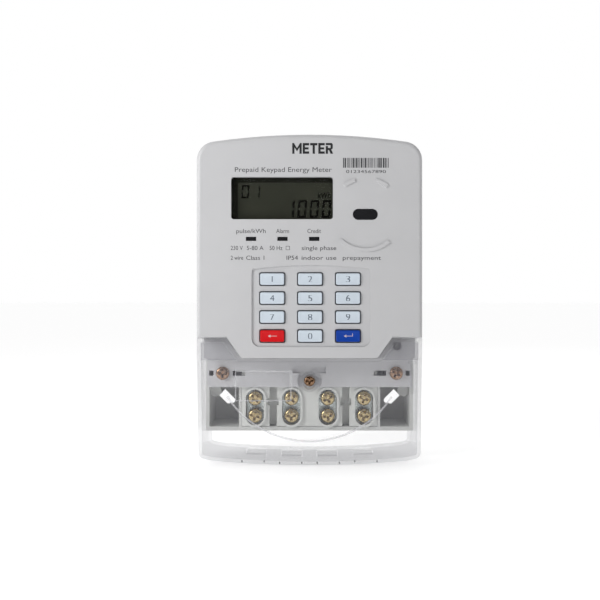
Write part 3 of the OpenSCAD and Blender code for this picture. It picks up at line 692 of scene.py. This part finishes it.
def make_printing():
    """Generic labels: a title, a barcode with its figures, the lamps' names and the ratings."""
    back, front = FRONT + 0.03 * MM, FRONT - 0.035 * MM
    pane_low, pane_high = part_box("display_window")
    left, right = pane_low[0] + 2 * MM, pane_high[0] - 2 * MM
    top = pane_high[2] - 2 * MM
    lens_low, lens_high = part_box("indicator_lenses")
    optical = centre("optical_window")
    text = 2.2 * MM
    bm = bmesh.new()
    kind = "Prepaid Keypad Energy Meter"
    write_text(bm, kind, left + 2 * MM, right - 0.6 * MM, top + 2.7 * MM, 2.5 * MM, back, front)
    code_left, code_right = optical.x - 11.8 * MM, optical.x + 12.3 * MM
    make_barcode(bm, code_left, code_right, top + 4.9 * MM, top + 10.1 * MM, back, front)
    code_left, code_right = optical.x - 10.2 * MM, optical.x + 10.9 * MM
    write_text(bm, "01234567890", code_left, code_right, top + 2.1 * MM, 1.6 * MM, back, front)
    lens_z = (lens_low[2] + lens_high[2]) / 2
    lens_left, lens_right = lens_low[0] + 3.55 * MM, lens_high[0] - 3.55 * MM
    for label, half, x in (("pulse/kWh", 7.8, lens_left), ("Alarm", 3.4, (lens_left + lens_right) / 2),
                           ("Credit", 3.6, lens_right)):
        write_text(bm, label, x - half * MM, x + half * MM, lens_z + 3.1 * MM, text, back, front)
    for drop, words in (
        (5.9, (("230 V", 0, 6.4), ("5-80 A", 8.5, 17.4), ("50 Hz", 20.6, 27.4),
               ("single phase", 37.6, 56.0))),
        (11.1, (("2 wire", 0, 6.6), ("Class 1", 8.2, 17.8), ("IP54", 29.6, 35.6),
                ("indoor use", 37.6, 56.0), ("prepayment", 59.4, 79.6))),
    ):
        for word, x0, x1 in words:
            word_left, word_right = left + (x0 - 0.2) * MM, left + (x1 - 0.2) * MM
            write_text(bm, word, word_left, word_right, lens_z - drop * MM, text, back, front)
    box_x, box_z, box_size = left + 29 * MM, lens_z - 5.9 * MM, 2.1 * MM
    frame_bars(bm, box_x, box_x + box_size, box_z, box_z + box_size, 0.22 * MM, back, front)
    finish_mesh(bm, "front_printing", INK, "meter")
    bm = bmesh.new()
    write_block_letters(bm, "METER", right - 21.6 * MM, right, top + 12.3 * MM, 5.7 * MM, back, front)
    finish_mesh(bm, "front_title", TITLE_INK, "meter")


# ---- screws ------------------------------------------------------------------


def screw_mesh(head_r, head_h, shank_r, length, pitch):
    """A pan-head screw along Y: its head points to -Y and its underside is at the origin."""
    around = 48
    thread = 0.14 * shank_r
    start = length - 0.35 * shank_r
    rows = [(length, 0.0, 0), (length, 0.7 * shank_r, 0), (start, shank_r - thread, 0)]
    steps = int((start - pitch) / (pitch / 6))
    rows += [(start - (i + 1) * pitch / 6, shank_r, thread) for i in range(steps)]
    rows += [(0.25 * pitch, shank_r - thread, 0), (0.0, shank_r, 0), (0.0, head_r * 0.96, 0),
             (-0.06 * head_h, head_r, 0), (-0.42 * head_h, head_r, 0)]
    for step in range(1, 6):
        turn = math.pi / 2 * step / 5
        dome_y = -head_h * (0.42 + 0.58 * math.sin(turn))
        rows.append((dome_y, head_r * (0.62 + 0.38 * math.cos(turn)), 0))
    rows.append((-head_h, 0.0, 0))
    bm = bmesh.new()
    rings = []
    for y, radius, cut in rows:
        if radius == 0:
            rings.append([bm.verts.new((0, y, 0))])
            continue
        ring = []
        for i in range(around):
            turn = 2 * math.pi * i / around
            r = radius - cut * (1 + math.cos(2 * math.pi * y / pitch - turn))
            ring.append(bm.verts.new((r * math.cos(turn), y, r * math.sin(turn))))
        rings.append(ring)
    for low, high in zip(rings, rings[1:]):
        for i in range(around):
            j = (i + 1) % around
            corners = [low[i % len(low)], low[j % len(low)], high[j % len(high)], high[i % len(high)]]
            bm.faces.new(list(dict.fromkeys(corners)))
    bmesh.ops.recalc_face_normals(bm, faces=bm.faces)
    mesh = bpy.data.meshes.new("screw")
    bm.to_mesh(mesh)
    bm.free()
    return cut_mesh(mesh, recess_cutter(head_r, head_h))


def recess_cutter(head_r, head_h):
    """A tapered cross that leaves the driver recess in a screw head."""
    rings = []
    for depth, reach, half in ((1.3, 0.7, 0.2), (0.95, 0.66, 0.17), (0.2, 0.3, 0.1)):
        y, reach, half = -head_h * depth, reach * head_r, half * head_r
        corner = [(reach, -half), (reach, half), (half, half)]
        ring = []
        for quarter in range(4):
            c, s = math.cos(quarter * math.pi / 2), math.sin(quarter * math.pi / 2)
            ring += [(x * c - z * s, y, x * s + z * c) for x, z in corner]
        rings.append(ring)
    bm = bmesh.new()
    loft(bm, rings)
    bmesh.ops.recalc_face_normals(bm, faces=bm.faces)
    mesh = bpy.data.meshes.new("cutter")
    bm.to_mesh(mesh)
    bm.free()
    return mesh


def cut_mesh(mesh, cutter):
    """The first mesh less the second, as a new mesh."""
    body = bpy.data.objects.new("body", mesh)
    tool = bpy.data.objects.new("tool", cutter)
    scene.collection.objects.link(body)
    scene.collection.objects.link(tool)
    boolean = body.modifiers.new("cut", "BOOLEAN")
    boolean.operation = "DIFFERENCE"
    boolean.solver = "EXACT"
    boolean.object = tool
    bevel = body.modifiers.new("bevel", "BEVEL")
    bevel.width = 0.06 * MM
    bevel.segments = 1
    bevel.limit_method = "ANGLE"
    bevel.angle_limit = math.radians(50)
    made = bpy.data.meshes.new_from_object(body.evaluated_get(bpy.context.evaluated_depsgraph_get()))
    for obj in (body, tool):
        bpy.data.objects.remove(obj)
    return made


# ---- details of the clear cover ----------------------------------------------

COVER_WALL = 2 * MM


def arc_points(middle_z, radius, half_turn, steps):
    """Points (x, z) of an arc that sags below its centre, from left to right."""
    turns = [half_turn * (2 * step / steps - 1) for step in range(steps + 1)]
    return [(radius * math.sin(turn), middle_z - radius * math.cos(turn)) for turn in turns]


def make_cover_marks():
    """Inside the clear cover: the moulded circle line and label frame, whitened as a painted highlight;
    painted shade over the shoulders and at the ends of the slots.
    """
    low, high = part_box("terminal_cover")
    back = low[1] + COVER_WALL + 0.4 * MM
    front = low[1] + COVER_WALL - 0.02 * MM
    bm = bmesh.new()
    circle_z, half_turn = -23 * MM, math.radians(57)
    outer = arc_points(circle_z, 52.7 * MM, half_turn, 60)
    inner = arc_points(circle_z, 51.7 * MM, half_turn, 60)
    # Painted highlight: the circle line and label frame are whitened for the light their moulded ridges
    # catch.
    prism(bm, outer + inner[::-1], back, front)
    frame_bars(bm, -39.6 * MM, -9.6 * MM, -53.9 * MM, -37.6 * MM, 0.55 * MM, back, front)
    finish_mesh(bm, "cover_marks", RIDGE_HIGHLIGHT, "terminal_cover")
    # Painted shade: darker sheets over the shoulders beside the tongue, and a denser strip along their
    # lower edge for the shadow line there.
    bm = bmesh.new()
    side = high[0] - COVER_WALL - 0.1 * MM
    shade_top, shade_low = high[2] - COVER_WALL - 0.2 * MM, -31.6 * MM
    edge_low = shade_low - 0.5 * MM
    tongue_top, tongue_low, tongue_edge = 46.4 * MM, 39.2 * MM, 38.8 * MM
    plate = ((side, shade_top), (tongue_top, shade_top), (tongue_low, shade_low), (side, shade_low))
    edge = ((side, shade_low), (tongue_low, shade_low), (tongue_edge, edge_low), (side, edge_low))
    for sign in (-1, 1):
        prism(bm, [(sign * x, z) for x, z in plate], back + 0.6 * MM, front)
        prism(bm, [(sign * x, z) for x, z in edge], back + 2.2 * MM, front)
    finish_mesh(bm, "cover_lips", SHOULDER_SHADE, "terminal_cover")
    # Painted shade: a dark plate at the front end of each knock-out slot stands for the shadow in the slot.
    bm = bmesh.new()
    half_slot = 0.34 * MM
    end_back, end_front = back - 0.8 * MM, back - 1 * MM
    for i in range(1, 5):
        x = centre(f"clamp_screw_{i}_lower").x
        z = low[2] + (1.75 * MM if i in (1, 4) else 0.9 * MM)
        for slot_x in (x - 5.9 * MM, x + 5.9 * MM):
            bar(bm, slot_x - half_slot, slot_x + half_slot, z, z + 1.1 * MM, end_back, end_front)
    finish_mesh(bm, "cover_slot_ends", SLOT_SHADE, "terminal_cover")


def make_screws():
    """Turned screws in place of the plain CAD ones, each with its recess at an angle of its own."""
    low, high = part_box("clamp_screw_1_upper")
    head_r, head_h = (high[0] - low[0]) / 2, 3 * MM
    clamp = screw_mesh(head_r, head_h, 2.35 * MM, high[1] - low[1] - head_h, 0.9 * MM)
    for i in range(1, 5):
        for place in ("upper", "lower"):
            node = f"clamp_screw_{i}_{place}"
            body = f"clamp_{i}_{place}_screw"
            middle = centre(node)
            mesh = clamp.copy()
            mesh.transform(Matrix.Translation((middle.x, low[1] + head_h, middle.z))
                           @ Matrix.Rotation(rng.uniform(0, math.pi), 4, "Y"))
            piece = add_piece(mesh, node + "_turned", MATERIALS["screw_gold"], body, 35)
            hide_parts(node)
    low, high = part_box("case_screws")
    head_r, head_h = (high[2] - low[2]) / 2, 2.4 * MM
    case = screw_mesh(head_r, head_h, 1.45 * MM, high[1] - low[1] - head_h, 0.8 * MM)
    pair = bmesh.new()
    for x in (low[0] + head_r, high[0] - head_r):
        mesh = case.copy()
        mesh.transform(Matrix.Translation((x, low[1] + head_h, (low[2] + high[2]) / 2))
                       @ Matrix.Rotation(rng.uniform(0, math.pi), 4, "Y"))
        pair.from_mesh(mesh)
    mesh = bpy.data.meshes.new("case_screws")
    pair.to_mesh(mesh)
    pair.free()
    bronze = MATERIALS["screw_bronze"]
    piece = add_piece(mesh, "case_screws_turned", bronze, "meter", 35)
    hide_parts("case_screws")
    low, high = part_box("cover_screw")
    head_r, head_h = (high[0] - low[0]) / 2, 2.4 * MM
    mesh = screw_mesh(head_r, head_h, 1.9 * MM, high[1] - low[1] - head_h, 0.7 * MM)
    middle = centre("cover_screw")
    mesh.transform(Matrix.Translation((middle.x, low[1] + head_h, middle.z)))
    piece = add_piece(mesh, "cover_screw_turned", bronze, "cover_screw", 35)
    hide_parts("cover_screw")


make_keypad()
make_display()
make_printing()
make_screws()
make_cover_marks()
